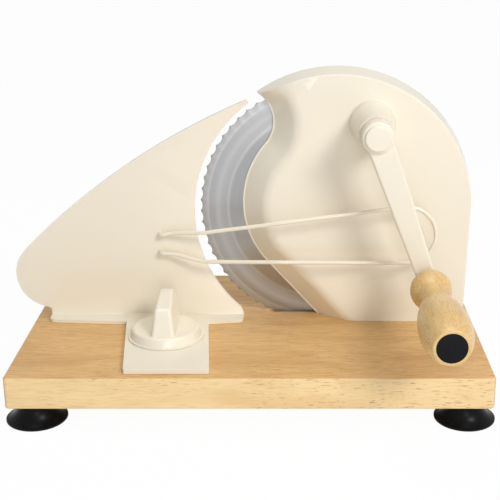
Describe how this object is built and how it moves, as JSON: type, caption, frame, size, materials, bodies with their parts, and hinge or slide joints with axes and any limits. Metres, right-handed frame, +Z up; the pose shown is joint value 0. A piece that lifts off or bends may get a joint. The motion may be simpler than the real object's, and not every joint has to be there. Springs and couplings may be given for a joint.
{
  "type": "bread slicer with crank",
  "caption": "Hand-cranked bread slicer on a beech board, with a toothed disc blade, a cream painted cover, a sliding stop plate with a wire guard and a turned wooden crank handle.",
  "frame": {"origin": "on the table, below the middle of the machine's overall box", "axes": "+X to the user's right, along the board's long side; +Y away from the user; +Z up"},
  "size_m": [0.3472, 0.261, 0.2275],
  "materials": {
    "board": "satin",
    "handle_beech": "satin",
    "rubber": "matte",
    "paint": "semi-gloss",
    "paint_plastic": "semi-gloss",
    "steel": "satin",
    "blade_steel": "brushed",
    "brass": "satin",
    "gear_plastic": "matte",
    "black_plastic": "matte"
  },
  "bodies": {
    "root": {"base_board": "board", "foot_front_left": "rubber", "foot_front_right": "rubber", "foot_rear_left": "rubber", "foot_rear_right": "rubber", "foot_screws": "steel", "cover": "paint", "cover_screws": "steel", "blade_axle": "steel", "axle_washer": "steel", "axle_screw": "steel", "front_bush": "brass", "rear_bush": "brass", "clamp_bolt": "steel"},
    "crank": {"crank_shaft": "steel", "crank_pinion": "gear_plastic", "pinion_clip": "steel", "crank_arm": "paint", "arm_washer": "steel", "arm_screw": "steel", "hub_cap": "paint_plastic", "handle_washer": "steel", "handle_bolt": "steel"},
    "handle": {"handle_grip": "handle_beech", "handle_cap": "black_plastic"},
    "blade": {"blade": "blade_steel", "blade_gear": "gear_plastic", "blade_screws": "steel"},
    "stop": {"stop_plate": "paint", "wire_guard": "paint"},
    "knob": {"clamp_knob": "paint_plastic", "knob_insert": "brass", "knob_washer": "steel"}
  },
  "joints": [
    {"name": "crank_turn", "type": "hinge", "parent": "root", "child": "crank", "pos_m": [0.09071, -0.0099, 0.19004], "axis": [0, 1, 0], "continuous": true},
    {"name": "blade_turn", "type": "hinge", "parent": "root", "child": "blade", "pos_m": [0.0583, 0.049, 0.1224], "axis": [0, 1, 0], "continuous": true},
    {"name": "handle_spin", "type": "hinge", "parent": "crank", "child": "handle", "pos_m": [0.12885, -0.0225, 0.0858], "axis": [0, 1, 0], "continuous": true},
    {"name": "stop_slide", "type": "slide", "parent": "root", "child": "stop", "axis": [0, 1, 0], "range_m": [-0.01, 0.0095]},
    {"name": "knob_turn", "type": "hinge", "parent": "root", "child": "knob", "pos_m": [-0.0574, -0.0093, 0.0424], "axis": [0, 0, 1], "range_deg": [0, 180]}
  ],
  "couplings": [
    {"joint": "blade_turn", "follows": "crank_turn", "ratio": -0.5}
  ]
}
